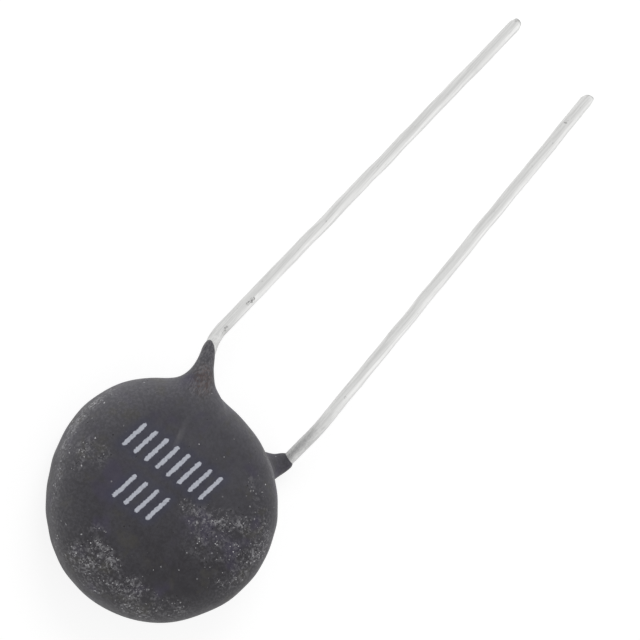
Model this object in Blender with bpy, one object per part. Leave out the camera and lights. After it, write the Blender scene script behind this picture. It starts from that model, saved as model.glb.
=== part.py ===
"""Disc thermistor with two radial wires, dipped in resin.

The part lies on its flat back. The origin is the centre of that face, +Z leaves the front face
and the wires run along +Y. The sintered disc carries a metal layer on each face, a wire is soldered
along each layer, and one dipped resin coat closes the lot and climbs both wires as two collars.
Heights of the inner pieces are measured from the disc's middle plane.
"""
import math

import bmesh
import bpy
import numpy as np
from mathutils import Matrix, Vector

MM = 0.001

# Sintered disc and its fired metal layers
CERAMIC_DIAMETER = 13.0 * MM
CERAMIC_THICKNESS = 2.6 * MM
CERAMIC_CHAMFER = 0.15 * MM
ELECTRODE_MARGIN = 0.4 * MM         # bare ceramic left round each metal layer
ELECTRODE_THICKNESS = 0.08 * MM
FIT_GAP = 0.05 * MM                 # clearance between pieces that touch on the real part

# Solder joints
SOLDER_LENGTH = 7.6 * MM
SOLDER_WIDTH = 2.6 * MM
SOLDER_COVER = 0.12 * MM            # solder left over the top of the wire

# Resin coat
COAT_FACE_COVER = 0.25 * MM         # resin over the highest point of the solder
COAT_RIM_COVER = 0.95 * MM          # resin past the disc's edge
COAT_RIM_ROUND = 2.2 * MM           # width of the rounded rim, seen from the front
COAT_RIM_POWER = 2.3                # 2 gives an elliptic rim, more a squarer one
COAT_SAG = 0.16 * MM                # the wet resin sagged away from the wires
COAT_OVAL = 0.2 * MM                # and set a little oval,
COAT_OVAL_BEARING = math.radians(114.0)     # longest this way, clockwise from +Y
COAT_LOBE = 0.12 * MM               # flat between the wires and full in three places,
COAT_LOBE_BEARING = math.radians(58.0)      # one of them this way
FILLET_REACH = 2.0 * MM             # how far the coat and a collar blend
RIDGE_START = 3.0 * MM              # from the centre, where a wire first lifts the coat
RIDGE_FADE = -0.85 * MM             # a collar's radius there: below zero it lifts nothing
NECK_START = 6.7 * MM               # from the centre, where the collar has its full neck
SKIRT_INSET = 0.1 * MM              # the coat's skirt lies this far inside the collar it runs into
SKIRT_SHORT = 0.5 * MM              # and stops this far before the collar's end
TONGUE_LENGTH = 1.5 * MM            # over which a collar's rings turn to its slanted end

# Wires, both of one size
WIRE_DIAMETER = 0.8 * MM
PITCH_AT_BODY = 9.12 * MM           # between the wires where they turn parallel
PITCH_AT_TIPS = 6.92 * MM
PAIR_SHIFT_AT_BODY = 0.07 * MM      # the pair lies this far to +X of the disc's centre
PAIR_SHIFT_AT_TIPS = 0.17 * MM
FREE_LENGTH = 30.4 * MM             # wire past the coat's rim
STEP_BEND_RADIUS = 1.5 * MM
PARALLEL_BEND_RADIUS = 2.4 * MM
TIP_CHAMFER = 0.08 * MM

# Front wire: on the seen face, on the -X side
FRONT_RUN_ANGLE = math.radians(22.4)        # its run under the coat, from +Y
FRONT_RUN_LENGTH = 9.4 * MM
FRONT_STEP_ANGLE = math.radians(29.6)       # where it leaves the face's height, seen from the centre
FRONT_STEP_RADIUS = 7.85 * MM
FRONT_BEND_REACH = 2.15 * MM                # past the rim, where it turns parallel
FRONT_NECK_RADIUS = 0.74 * MM
FRONT_COLLAR_END_RADIUS = 0.52 * MM
FRONT_COLLAR_REACH = 1.95 * MM              # past the rim, to the collar's end on the wire's axis
FRONT_END_SLANT = math.radians(45.0)        # the end is a tongue, longest outwards and on its own face

# Rear wire: on the far face, on the +X side
REAR_RUN_ANGLE = math.radians(39.0)
REAR_RUN_LENGTH = 10.2 * MM
REAR_STEP_ANGLE = math.radians(35.3)
REAR_STEP_RADIUS = 8.7 * MM
REAR_BEND_REACH = 2.6 * MM
REAR_NECK_RADIUS = 0.76 * MM
REAR_COLLAR_END_RADIUS = 0.62 * MM
REAR_COLLAR_REACH = 1.45 * MM
REAR_END_SLANT = math.radians(8.0)

# Fineness of the meshes
WIRE_SIDES = 14
BEND_STATIONS = 7
FREE_STATIONS = 9
DISC_SIDES = 64
SOLDER_SIDES = 28
SOLDER_RINGS = 16
COLLAR_SIDES = 18
COLLAR_STATIONS = 12
COAT_COLUMNS = 88
COAT_ROWS = 34
COAT_FINE_ANGLE = math.radians(1.9)         # between rays that meet a collar's skirt
COAT_COARSE_ANGLE = math.radians(7.5)
SKIRT_HALF_ANGLE = math.radians(16.0)
BELT_HALF_ANGLE = math.radians(20.0)
COLLAR_SAMPLES = 40
LINE_SAMPLES = 1600
DENSITY_SAMPLES = 2000
RAY_STEP = 0.2 * MM
HALVINGS = 24
SHARP_EDGE = math.radians(35.0)

# Sizes that follow from those above
CERAMIC_RADIUS = CERAMIC_DIAMETER / 2
WIRE_RADIUS = WIRE_DIAMETER / 2
ELECTRODE_RADIUS = CERAMIC_RADIUS - ELECTRODE_MARGIN
ELECTRODE_BASE = CERAMIC_THICKNESS / 2 + FIT_GAP
ELECTRODE_TOP = ELECTRODE_BASE + ELECTRODE_THICKNESS
SOLDER_BASE = ELECTRODE_TOP + FIT_GAP
WIRE_HEIGHT = SOLDER_BASE + WIRE_RADIUS
SOLDER_TOP = WIRE_HEIGHT + WIRE_RADIUS + FIT_GAP + SOLDER_COVER
COAT_HALF = SOLDER_TOP + FIT_GAP + COAT_FACE_COVER
COAT_RADIUS = CERAMIC_RADIUS + COAT_RIM_COVER

MIDDLE = Vector((0.0, 0.0, COAT_HALF))      # the disc's centre above the face it lies on


def make_material(name, colour, roughness, metallic=0.0):
    """A Principled material; the colour is linear red, green and blue."""
    material = bpy.data.materials.new(name)
    material.use_nodes = True
    shader = material.node_tree.nodes["Principled BSDF"]
    shader.inputs["Base Color"].default_value = (*colour, 1.0)
    shader.inputs["Roughness"].default_value = roughness
    shader.inputs["Metallic"].default_value = metallic
    material.diffuse_color = (*colour, 1.0)
    return material


def add_object(name, mesh, material=None):
    """Places a mesh in the scene with its round faces shaded smooth."""
    mesh.shade_smooth()
    mesh.set_sharp_from_angle(angle=SHARP_EDGE)
    piece = bpy.data.objects.new(name, mesh)
    bpy.context.scene.collection.objects.link(piece)
    if material:
        mesh.materials.append(material)
    return piece


def mesh_from(name, points, faces):
    mesh = bpy.data.meshes.new(name)
    mesh.from_pydata([tuple(point) for point in points], [], faces)
    mesh.update()
    return mesh


def combine(piece, operation, *others):
    """Adds each other solid to the piece or takes it out; the others stay as wire guides."""
    for other in others:
        other.hide_render = True
        other.display_type = "WIRE"
        boolean = piece.modifiers.new(other.name, "BOOLEAN")
        boolean.operation = operation
        boolean.solver = "EXACT"
        boolean.object = other


def turned(name, profile, material=None):
    """A solid of revolution about Z from (radius, height) points that start and end on the axis."""
    body = bmesh.new()
    vertices = [body.verts.new((radius, 0.0, height)) for radius, height in profile]
    edges = [body.edges.new(pair) for pair in zip(vertices, vertices[1:])]
    bmesh.ops.spin(body, geom=vertices + edges, cent=(0, 0, 0), axis=(0, 0, 1),
                   angle=2 * math.pi, steps=DISC_SIDES, use_merge=True)
    bmesh.ops.remove_doubles(body, verts=body.verts, dist=1e-6)
    bmesh.ops.recalc_face_normals(body, faces=body.faces)
    mesh = bpy.data.meshes.new(name)
    body.to_mesh(mesh)
    body.free()
    piece = add_object(name, mesh, material)
    piece.location = MIDDLE
    return piece


def swept(name, path, radii, material=None, sides=WIRE_SIDES, sideways=None, slants=None):
    """A round bar along a path, one ring of points a station, with flat ends.

    A ring's slant is how far its points slide along the path for each unit they lie sideways.
    """
    angles = np.arange(sides) * 2 * math.pi / sides
    points = []
    tangents = [(after - before).normalized() for before, after
                in zip([path[0]] + path[:-1], path[1:] + [path[-1]])]
    across = tangents[0].cross(Vector((0, 0, 1))).normalized()
    for index, (centre, tangent, radius) in enumerate(zip(path, tangents, radii)):
        if index:
            across = tangents[index - 1].rotation_difference(tangent) @ across
        upward = across.cross(tangent)
        for angle in angles:
            offset = radius * (math.cos(angle) * across + math.sin(angle) * upward)
            if slants is not None:
                offset += tangent * slants[index] * offset.dot(sideways)
            points.append(centre + offset)
    faces = [tuple(reversed(range(sides)))]
    for start in range(0, len(points) - sides, sides):
        for side in range(sides):
            following = (side + 1) % sides
            faces.append((start + side, start + following,
                          start + sides + following, start + sides + side))
    faces.append(tuple(range(len(points) - sides, len(points))))
    mesh = mesh_from(name, points, faces)
    body = bmesh.new()
    body.from_mesh(mesh)
    bmesh.ops.recalc_face_normals(body, faces=body.faces)
    body.to_mesh(mesh)
    body.free()
    return add_object(name, mesh, material)


class Wire:
    """One formed wire: its corners, its rounded centre line and the collar that the coat makes on it."""

    def __init__(self, side, face, run_angle, run_length, step_angle, step_radius, bend_reach,
                 neck_radius, collar_end_radius, collar_reach, end_slant):
        self.side, self.face = side, face
        self.neck_radius, self.collar_end_radius = neck_radius, collar_end_radius
        self.collar_end = COAT_RADIUS + collar_reach
        self.end_slant = end_slant
        self.run_direction = Vector((side * math.sin(run_angle), math.cos(run_angle), 0))
        step = Vector((side * step_radius * math.sin(step_angle), step_radius * math.cos(step_angle),
                       face * WIRE_HEIGHT))
        self.inner_end = step - run_length * self.run_direction
        bend = Vector((PAIR_SHIFT_AT_BODY + side * PITCH_AT_BODY / 2, COAT_RADIUS + bend_reach, 0))
        tip = Vector((PAIR_SHIFT_AT_TIPS + side * PITCH_AT_TIPS / 2, COAT_RADIUS + FREE_LENGTH, 0))
        self.corners = [self.inner_end, step, bend, tip]
        self.tip_direction = (tip - bend).normalized()

    def centre_line(self, before=0.0, stations=BEND_STATIONS):
        """Points along the wire, its two corners rounded; before lengthens its inner end."""
        radii = (STEP_BEND_RADIUS, PARALLEL_BEND_RADIUS)
        points = [self.inner_end - before * self.run_direction]
        for index, radius in enumerate(radii, start=1):
            corner = self.corners[index]
            inward = (corner - self.corners[index - 1]).normalized()
            outward = (self.corners[index + 1] - corner).normalized()
            turn = inward.angle(outward)
            start = corner - inward * radius * math.tan(turn / 2)
            sideways = (outward - inward * inward.dot(outward)).normalized()
            for share in np.linspace(0, turn, stations):
                points.append(start + radius * (math.sin(share) * inward
                                                + (1 - math.cos(share)) * sideways))
        last_bend, tip = points[-1], self.corners[-1]
        points += [last_bend.lerp(tip, share) for share in np.linspace(0, 1, FREE_STATIONS)[1:]]
        return [point + MIDDLE for point in points]

    def outer_line(self):
        """The centre line past the disc's middle: closely spaced points from the disc's centre, and
        how far from that centre each lies, seen from the front."""
        line = np.array(self.centre_line()) - np.array(MIDDLE)
        steps = np.linalg.norm(np.diff(line, axis=0), axis=1)
        along = np.concatenate(([0.0], np.cumsum(steps)))
        fine = np.linspace(0, along[-1], LINE_SAMPLES)
        dense = np.stack([np.interp(fine, along, line[:, axis]) for axis in range(3)], axis=1)
        distance = np.hypot(dense[:, 0], dense[:, 1])
        wanted = (dense @ np.array(self.run_direction) > 0) & (distance >= RIDGE_START)
        return dense[wanted], distance[wanted]

    def collar(self, start, end, stations):
        """Centres and radii along the collar, between two distances from the disc's centre.

        The radius grows from nothing where the wire starts to lift the coat to the full neck, and
        then tapers to the collar's end.
        """
        line, distance = self.outer_line()
        centres = np.stack([np.interp(np.linspace(start, end, stations), distance, line[:, axis])
                            for axis in range(3)], axis=1)
        distance = np.linspace(start, end, stations)
        rise = np.clip((distance - RIDGE_START) / (NECK_START - RIDGE_START), 0, 1)
        rise = rise * rise * (3 - 2 * rise)
        fall = np.clip((distance - NECK_START) / (self.collar_end - NECK_START), 0, 1)
        radii = RIDGE_FADE + (self.neck_radius - RIDGE_FADE) * rise
        radii += (self.collar_end_radius - self.neck_radius) * fall
        return centres, radii


def blend(first, second, reach):
    """Smooth union of two fields: where they differ by less than reach, a fillet is added."""
    share = np.clip(1 - np.abs(first - second) / reach, 0, None)
    return np.minimum(first, second) - share * share * reach / 4


def coat_field(points, collars):
    """Below zero inside the coat: a disc with a super-elliptic rim, blended with the collars.

    The plane of the back face cuts off what the rear wire lifts there, so the part lies flat.
    """
    across, along = points[..., 0], points[..., 1] + COAT_SAG
    bearing = np.arctan2(across, along)
    outline = (COAT_RADIUS + COAT_OVAL * np.cos(2 * (bearing - COAT_OVAL_BEARING))
               + COAT_LOBE * np.cos(3 * (bearing - COAT_LOBE_BEARING)))
    outward = np.clip(np.hypot(across, along) - (outline - COAT_RIM_ROUND), 0, None) / COAT_RIM_ROUND
    upward = np.abs(points[..., 2]) / COAT_HALF
    rim = (outward ** COAT_RIM_POWER + upward ** COAT_RIM_POWER) ** (1 / COAT_RIM_POWER)
    field = (rim - 1) * min(COAT_RIM_ROUND, COAT_HALF)
    for centres, radii in collars:
        to_centres = np.linalg.norm(points[..., None, :] - centres, axis=-1) - radii
        field = blend(field, to_centres.min(axis=-1), FILLET_REACH)
    return np.maximum(field, -points[..., 2] - COAT_HALF)


def spaced(count, low, high, centres, half_width):
    """Angles from low to high that crowd together near the centres.

    The crowding is a density with a bell at each centre; equal shares of its sum give the angles.
    """
    angles = np.linspace(low, high, DENSITY_SAMPLES)
    density = np.full_like(angles, 1 / COAT_COARSE_ANGLE)
    for centre in centres:
        bell = np.exp(-np.abs((angles - centre) / half_width) ** 4)
        density += bell * (1 / COAT_FINE_ANGLE - 1 / COAT_COARSE_ANGLE)
    total = np.concatenate(([0.0], np.cumsum((density[1:] + density[:-1]) / 2)))
    return np.interp(np.linspace(0, total[-1], count), total, angles)


def coat_surface(wires):
    """The coat's outside: each ray from the disc's centre ends where it last leaves the coat."""
    skirts, bearings = [], []
    for wire in wires:
        centres, radii = wire.collar(RIDGE_START, wire.collar_end - SKIRT_SHORT, COLLAR_SAMPLES)
        skirts.append((centres, radii - SKIRT_INSET))
        bearings.append(math.atan2(centres[-1][0], centres[-1][1]))
    around = spaced(COAT_COLUMNS + 1, -math.pi, math.pi, bearings, SKIRT_HALF_ANGLE)[:-1]
    rows = spaced(COAT_ROWS + 2, -math.pi / 2, math.pi / 2, [0.0], BELT_HALF_ANGLE)[1:-1]
    height, bearing = np.meshgrid(rows, around, indexing="ij")
    height = np.concatenate([[-math.pi / 2], height.ravel(), [math.pi / 2]])
    bearing = np.concatenate([[0.0], bearing.ravel(), [0.0]])
    flat = np.cos(height)
    rays = np.stack([flat * np.sin(bearing), flat * np.cos(bearing), np.sin(height)], axis=-1)

    furthest = max(wire.collar_end for wire in wires) + FILLET_REACH
    trial = np.arange(COAT_HALF / 2, furthest, RAY_STEP)
    inside = np.stack([coat_field(rays * reach, skirts) <= 0 for reach in trial])
    last = len(trial) - 1 - inside[::-1].argmax(axis=0)
    near, far = trial[last], trial[last] + RAY_STEP
    for _ in range(HALVINGS):
        middle = (near + far) / 2
        within = coat_field(rays * middle[:, None], skirts) <= 0
        near, far = np.where(within, middle, near), np.where(within, far, middle)
    return rays * near[:, None] + np.array(MIDDLE)


def make_coat(wires, material):
    points = coat_surface(wires)
    top = len(points) - 1
    faces = []
    for column in range(COAT_COLUMNS):
        following = (column + 1) % COAT_COLUMNS
        faces.append((0, 1 + column, 1 + following))
        for row in range(COAT_ROWS - 1):
            low = 1 + row * COAT_COLUMNS
            high = low + COAT_COLUMNS
            faces.append((low + following, low + column, high + column, high + following))
        high = 1 + (COAT_ROWS - 1) * COAT_COLUMNS
        faces.append((high + following, high + column, top))
    return add_object("resin_coating", mesh_from("resin_coating", points, faces), material)


def make_ceramic(material):
    """The sintered disc with its chamfered edge."""
    radius, half = CERAMIC_RADIUS, CERAMIC_THICKNESS / 2
    profile = [(0, -half), (radius - CERAMIC_CHAMFER, -half), (radius, -half + CERAMIC_CHAMFER),
               (radius, half - CERAMIC_CHAMFER), (radius - CERAMIC_CHAMFER, half), (0, half)]
    return turned("ceramic_disc", profile, material)


def make_electrode(name, face, material):
    low, high = sorted((face * ELECTRODE_BASE, face * ELECTRODE_TOP))
    return turned(name, [(0, low), (ELECTRODE_RADIUS, low), (ELECTRODE_RADIUS, high), (0, high)], material)


def element_cutter():
    """The room for the disc and both metal layers, a clearance larger all round."""
    radius, half = CERAMIC_RADIUS + FIT_GAP, CERAMIC_THICKNESS / 2 + FIT_GAP
    layer, height = ELECTRODE_RADIUS + FIT_GAP, SOLDER_BASE
    profile = [(0, -height), (layer, -height), (layer, -half), (radius, -half),
               (radius, half), (layer, half), (layer, height), (0, height)]
    return turned("element_room", profile)


def solder_dome(name, wire, grown=0.0, material=None):
    """Half an ellipsoid, flat on the metal layer, long way along the wire's run."""
    length, width = SOLDER_LENGTH / 2 + grown, SOLDER_WIDTH / 2 + grown
    height = SOLDER_TOP - SOLDER_BASE + grown
    sunk = 2 * grown
    body = bmesh.new()
    bmesh.ops.create_uvsphere(body, u_segments=SOLDER_SIDES, v_segments=SOLDER_RINGS, radius=1.0)
    bmesh.ops.scale(body, vec=(width, length, height), verts=body.verts)
    cut_plane = bmesh.ops.bisect_plane(body, geom=body.verts[:] + body.edges[:] + body.faces[:],
                                       plane_co=(0, 0, -sunk), plane_no=(0, 0, -1), clear_outer=True)
    rim = [part for part in cut_plane["geom_cut"] if isinstance(part, bmesh.types.BMEdge)]
    bmesh.ops.edgeloop_fill(body, edges=rim)
    bmesh.ops.recalc_face_normals(body, faces=body.faces)
    mesh = bpy.data.meshes.new(name)
    body.to_mesh(mesh)
    body.free()
    piece = add_object(name, mesh, material)
    centre = wire.inner_end + wire.run_direction * (SOLDER_LENGTH / 2 - WIRE_DIAMETER)
    spin = math.atan2(-wire.run_direction.x, wire.run_direction.y)
    flip = Matrix.Identity(4) if wire.face > 0 else Matrix.Rotation(math.pi, 4, "Y")
    base = Vector((centre.x, centre.y, wire.face * SOLDER_BASE)) + MIDDLE
    piece.matrix_world = Matrix.Translation(base) @ Matrix.Rotation(spin, 4, "Z") @ flip
    return piece


def make_lead(name, wire, material):
    """The wire itself, its cut tip lightly chamfered."""
    path = wire.centre_line()
    direction = wire.tip_direction
    path.insert(-1, path[-1] - direction * TIP_CHAMFER)
    radii = [WIRE_RADIUS] * (len(path) - 1) + [WIRE_RADIUS - TIP_CHAMFER]
    return swept(name, path, radii, material)


def channel_cutter(name, wire):
    path = wire.centre_line(before=FIT_GAP)
    return swept(name, path, [WIRE_RADIUS + FIT_GAP] * len(path))


def collar_tube(name, wire):
    """The resin round the wire outside the skirt.

    Its end is a tongue, longest half way between the outer side and the face that the wire is on.
    """
    centres, radii = wire.collar(NECK_START, wire.collar_end, COLLAR_STATIONS)
    distance = np.hypot(centres[:, 0], centres[:, 1])
    turn = np.clip(1 - (wire.collar_end - distance) / TONGUE_LENGTH, 0, 1)
    slants = math.tan(wire.end_slant) * turn
    return swept(name, [Vector(centre) + MIDDLE for centre in centres], radii.tolist(),
                 sides=COLLAR_SIDES, sideways=Vector((wire.side, 0, wire.face)).normalized(),
                 slants=slants.tolist())


def main():
    for old in list(bpy.data.objects):
        bpy.data.objects.remove(old, do_unlink=True)

    resin = make_material("dipped_resin", (0.058, 0.056, 0.062), 0.6)
    ceramic = make_material("sintered_oxide", (0.045, 0.04, 0.038), 0.75)
    silver = make_material("fired_silver", (0.75, 0.74, 0.7), 0.45, 1.0)
    solder = make_material("solder", (0.6, 0.6, 0.62), 0.35, 1.0)
    tinned = make_material("tinned_copper", (0.68, 0.68, 0.69), 0.35, 1.0)

    front = Wire(-1, 1, FRONT_RUN_ANGLE, FRONT_RUN_LENGTH, FRONT_STEP_ANGLE, FRONT_STEP_RADIUS,
                 FRONT_BEND_REACH, FRONT_NECK_RADIUS, FRONT_COLLAR_END_RADIUS, FRONT_COLLAR_REACH,
                 FRONT_END_SLANT)
    rear = Wire(1, -1, REAR_RUN_ANGLE, REAR_RUN_LENGTH, REAR_STEP_ANGLE, REAR_STEP_RADIUS,
                REAR_BEND_REACH, REAR_NECK_RADIUS, REAR_COLLAR_END_RADIUS, REAR_COLLAR_REACH,
                REAR_END_SLANT)

    make_ceramic(ceramic)
    coat = make_coat((front, rear), resin)
    combine(coat, "UNION", collar_tube("front_collar", front), collar_tube("rear_collar", rear))
    combine(coat, "DIFFERENCE", element_cutter())
    for place, wire in (("front", front), ("rear", rear)):
        make_electrode(place + "_electrode", wire.face, silver)
        joint = solder_dome(place + "_solder", wire, material=solder)
        channel = channel_cutter(place + "_channel", wire)
        combine(joint, "DIFFERENCE", channel)
        room = solder_dome(place + "_solder_room", wire, grown=FIT_GAP)
        combine(coat, "DIFFERENCE", room, channel)
        make_lead(place + "_lead", wire, tinned)


main()
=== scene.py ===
# Looks of a dip-coated disc thermistor: charcoal resin body, two tinned copper wires.
# The part lies on its flat back; +Z leaves the printed face and the wires run along +Y.
import functools
import math

import bpy
import numpy as np
from mathutils import Matrix, Vector


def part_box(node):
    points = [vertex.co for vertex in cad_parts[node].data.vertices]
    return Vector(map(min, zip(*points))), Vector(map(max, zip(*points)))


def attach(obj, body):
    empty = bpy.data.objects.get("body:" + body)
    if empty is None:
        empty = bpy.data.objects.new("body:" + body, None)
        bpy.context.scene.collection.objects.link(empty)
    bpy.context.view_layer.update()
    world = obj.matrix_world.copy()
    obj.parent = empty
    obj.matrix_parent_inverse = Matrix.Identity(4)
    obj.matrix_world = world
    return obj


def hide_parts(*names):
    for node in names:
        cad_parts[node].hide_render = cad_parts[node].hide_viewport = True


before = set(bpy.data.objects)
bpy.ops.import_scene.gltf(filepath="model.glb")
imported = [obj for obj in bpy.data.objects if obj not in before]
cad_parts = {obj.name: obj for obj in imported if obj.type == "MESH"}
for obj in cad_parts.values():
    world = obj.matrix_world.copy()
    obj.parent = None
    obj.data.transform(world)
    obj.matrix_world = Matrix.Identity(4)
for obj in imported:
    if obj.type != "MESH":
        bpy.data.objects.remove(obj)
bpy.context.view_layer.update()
mm = 0.001
anyPhase = 6.28                     # a random wave starts anywhere in about a full turn

discLow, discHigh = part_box("ceramic_disc")
middle = (discLow + discHigh) / 2                   # the disc's centre, half the coat's thickness up
discRadius = (discHigh.x - discLow.x) / 2 / mm
print("frame loaded, disc radius", round(discRadius, 3), "mm")


# The camera: where the photograph was taken from, found from the disc's outline and the wires' lengths.
photo = {
    "width": 640,                   # pixels
    "discCentre": (162.9, 499.3),   # pixel of the disc's centre
    "pixelsPerMm": 16.1,
    "tilt": 20.0,                   # degrees off straight down
    "tiltAxis": 33.0,               # bearing of the side that leans away, from +X towards +Y
    "roll": 10.0,
    "distance": 220.0,              # mm
    "sensor": 36.0,                 # mm
    "clipStart": 1.0,
}


def addCamera():
    # right and up are the image's axes in the part's frame; towards points from the part to the eye;
    # the aim is the disc's centre, moved so that the centre falls on its own pixel
    lean = math.radians(photo["tiltAxis"])
    tilt, roll = math.radians(photo["tilt"]), math.radians(photo["roll"])
    away = Vector((math.cos(lean), math.sin(lean), 0))
    beside = Vector((-math.sin(lean), math.cos(lean), 0))
    towards = Vector((0, 0, 1)) * math.cos(tilt) - away * math.sin(tilt)
    leaning = away * math.cos(tilt) + Vector((0, 0, 1)) * math.sin(tilt)
    right = math.cos(roll) * leaning + math.sin(roll) * beside
    up = -math.sin(roll) * leaning + math.cos(roll) * beside
    half, scale = photo["width"] / 2, photo["pixelsPerMm"] / mm
    x, y = photo["discCentre"]
    aim = middle + right * ((half - x) / scale) + up * ((y - half) / scale)
    distance = photo["distance"] * mm
    camera = bpy.data.objects.new("camera", bpy.data.cameras.new("camera"))
    bpy.context.scene.collection.objects.link(camera)
    camera.data.sensor_width = photo["sensor"]
    camera.data.lens = photo["sensor"] * distance * scale / photo["width"]
    camera.data.clip_start = photo["clipStart"] * mm
    turn = Matrix((right, up, towards)).transposed().to_4x4()
    camera.matrix_world = Matrix.Translation(aim + towards * distance) @ turn
    bpy.context.scene.camera = camera


addCamera()
bpy.context.scene.view_settings.view_transform = "Standard"


def linear(hexColour):
    # sRGB hex to linear light: below 0.04045 a straight line, above it a power of 2.4
    values = np.array([int(hexColour[i:i + 2], 16) for i in (1, 3, 5)]) / 255
    values = np.where(values <= 0.04045, values / 12.92, ((values + 0.055) / 1.055) ** 2.4)
    return (*values.tolist(), 1.0)


def grey(value):
    return (value, value, value, 1.0)


def fill(filled, *values, **named):
    # fills a node's sockets: values go to the live ones in order, named ones to the socket of that name.
    # A socket is joined and a plain value is set. It gives back the values that are left over.
    live = [socket for socket in filled.inputs if socket.enabled]
    pairs = [*zip(live, values), *((filled.inputs[name.replace("_", " ")], named[name]) for name in named)]
    for socket, value in pairs:
        if isinstance(value, bpy.types.NodeSocket):
            filled.id_data.links.new(value, socket)
        else:
            socket.default_value = value
    return values[len(live):]


def node(tree, kind, settings, *values, **named):
    # adds a shader node and gives back its first live output; settings are its attributes. Values left
    # over go on to another node of the kind, as in a sum of three.
    added = tree.nodes.new("ShaderNode" + kind)
    for name, value in settings.items():
        setattr(added, name, value)
    leftOver = fill(added, *values, **named)
    result = next(socket for socket in added.outputs if socket.enabled)
    return node(tree, kind, settings, result, *leftOver) if leftOver else result


# Settings that come back: of the Math and Vector Math nodes, of Map Range and of a Mix of colours
plus, minus, times, dotted = ({"operation": name} for name in ("ADD", "SUBTRACT", "MULTIPLY", "DOT_PRODUCT"))
lowest, highest = {"operation": "MINIMUM"}, {"operation": "MAXIMUM"}
smooth = {"interpolation_type": "SMOOTHSTEP"}
inColour = {"data_type": "RGBA"}
usual = (0.3, 0.7)                  # nearly all of a noise's values lie between these


def newMaterial(name):
    # a material, its own shader and the function that adds nodes to it
    material = bpy.data.materials.new(name)
    material.use_nodes = True
    tree = material.node_tree
    return material, tree.nodes["Principled BSDF"], functools.partial(node, tree)


# The floor and the studio light
studio = {
    "floorSize": 900.0,             # mm
    "floorColour": "#f4f4f5",
    "floorShade": 0.3,              # share of the floor's picture that takes shadows
    "floorGlow": 0.82,              # and the light of its own that brings it back to white
    "floorMirrored": 0.97,          # what metal shows of it
    "surround": (1.0, 0.3),         # light from the horizon and from overhead
    "mirrored": (0.86, 1.2),        # what metal shows, from the dull side of the room to the bright one
    "mirroredSpan": (-0.8, 0.4),    # from where to where it changes, as the cosine off the bright side
    "brightSide": (0.8, 0.0, -0.6),
    "keyPlace": (-60.0, 80.0, 100.0),
    "keySize": 80.0,
    "keyPower": 0.055,
}


def addFloor():
    # a white card: the camera sees a matte card that glows, metal mirrors plain white, and other light
    # comes off a pale matte card
    size = studio["floorSize"] * mm / 2
    mesh = bpy.data.meshes.new("floor")
    corners = [(-size, -size, 0), (size, -size, 0), (size, size, 0), (-size, size, 0)]
    mesh.from_pydata(corners, [], [(0, 1, 2, 3)])
    floor = bpy.data.objects.new("floor", mesh)
    bpy.context.scene.collection.objects.link(floor)
    material, shader, add = newMaterial("white card")
    material.node_tree.nodes.remove(shader)
    ray = add("LightPath", {}).node.outputs
    card = add("BsdfDiffuse", {}, linear(studio["floorColour"]))
    shade = add("BsdfDiffuse", {}, grey(studio["floorShade"]))
    glow = add("Emission", {}, grey(1.0), studio["floorGlow"])
    seen = add("AddShader", {}, shade, glow)
    white = add("Emission", {}, grey(1.0), studio["floorMirrored"])
    picture = add("MixShader", {}, ray["Is Camera Ray"], card, seen)
    mirrored = add("Math", highest, ray["Is Glossy Ray"], ray["Is Transmission Ray"])
    both = add("MixShader", {}, mirrored, picture, white)
    fill(material.node_tree.nodes["Material Output"], Surface=both)
    mesh.materials.append(material)


def addWorld():
    # light from all round, weaker from overhead; metal mirrors a dull and a bright side instead, and
    # the camera sees white
    world = bpy.data.worlds.new("studio surround")
    bpy.context.scene.world = world
    world.use_nodes = True
    tree = world.node_tree
    tree.nodes.remove(tree.nodes["Background"])
    add = functools.partial(node, tree)
    way = add("TexCoord", {}).node.outputs["Generated"]
    side = add("VectorMath", dotted, way, Vector(studio["brightSide"]).normalized())
    room = add("MapRange", smooth, side, *studio["mirroredSpan"], *studio["mirrored"])
    height = add("SeparateXYZ", {}, way).node.outputs["Z"]
    tent = add("MapRange", {}, height, 0.0, 1.0, *studio["surround"])
    even = add("Background", {}, grey(1.0), tent)
    shown = add("Background", {}, grey(1.0), room)
    white = add("Background", {}, grey(1.0), 1.0)
    ray = add("LightPath", {}).node.outputs
    glossy = add("MixShader", {}, ray["Is Glossy Ray"], even, shown)
    both = add("MixShader", {}, ray["Is Camera Ray"], glossy, white)
    fill(tree.nodes["World Output"], Surface=both)


def addLamp(name, place, size, power):
    lamp = bpy.data.objects.new(name, bpy.data.lights.new(name, "AREA"))
    bpy.context.scene.collection.objects.link(lamp)
    lamp.data.shape = "DISK"
    lamp.data.size = size * mm
    lamp.data.energy = power
    lamp.location = Vector(place) * mm
    lamp.rotation_euler = (middle - lamp.location).to_track_quat("-Z", "Y").to_euler()
    lamp.visible_glossy = False                     # the surround holds what the metal mirrors


addFloor()
addWorld()
addLamp("key lamp", studio["keyPlace"], studio["keySize"], studio["keyPower"])
print("floor, surround and lamp")


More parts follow.
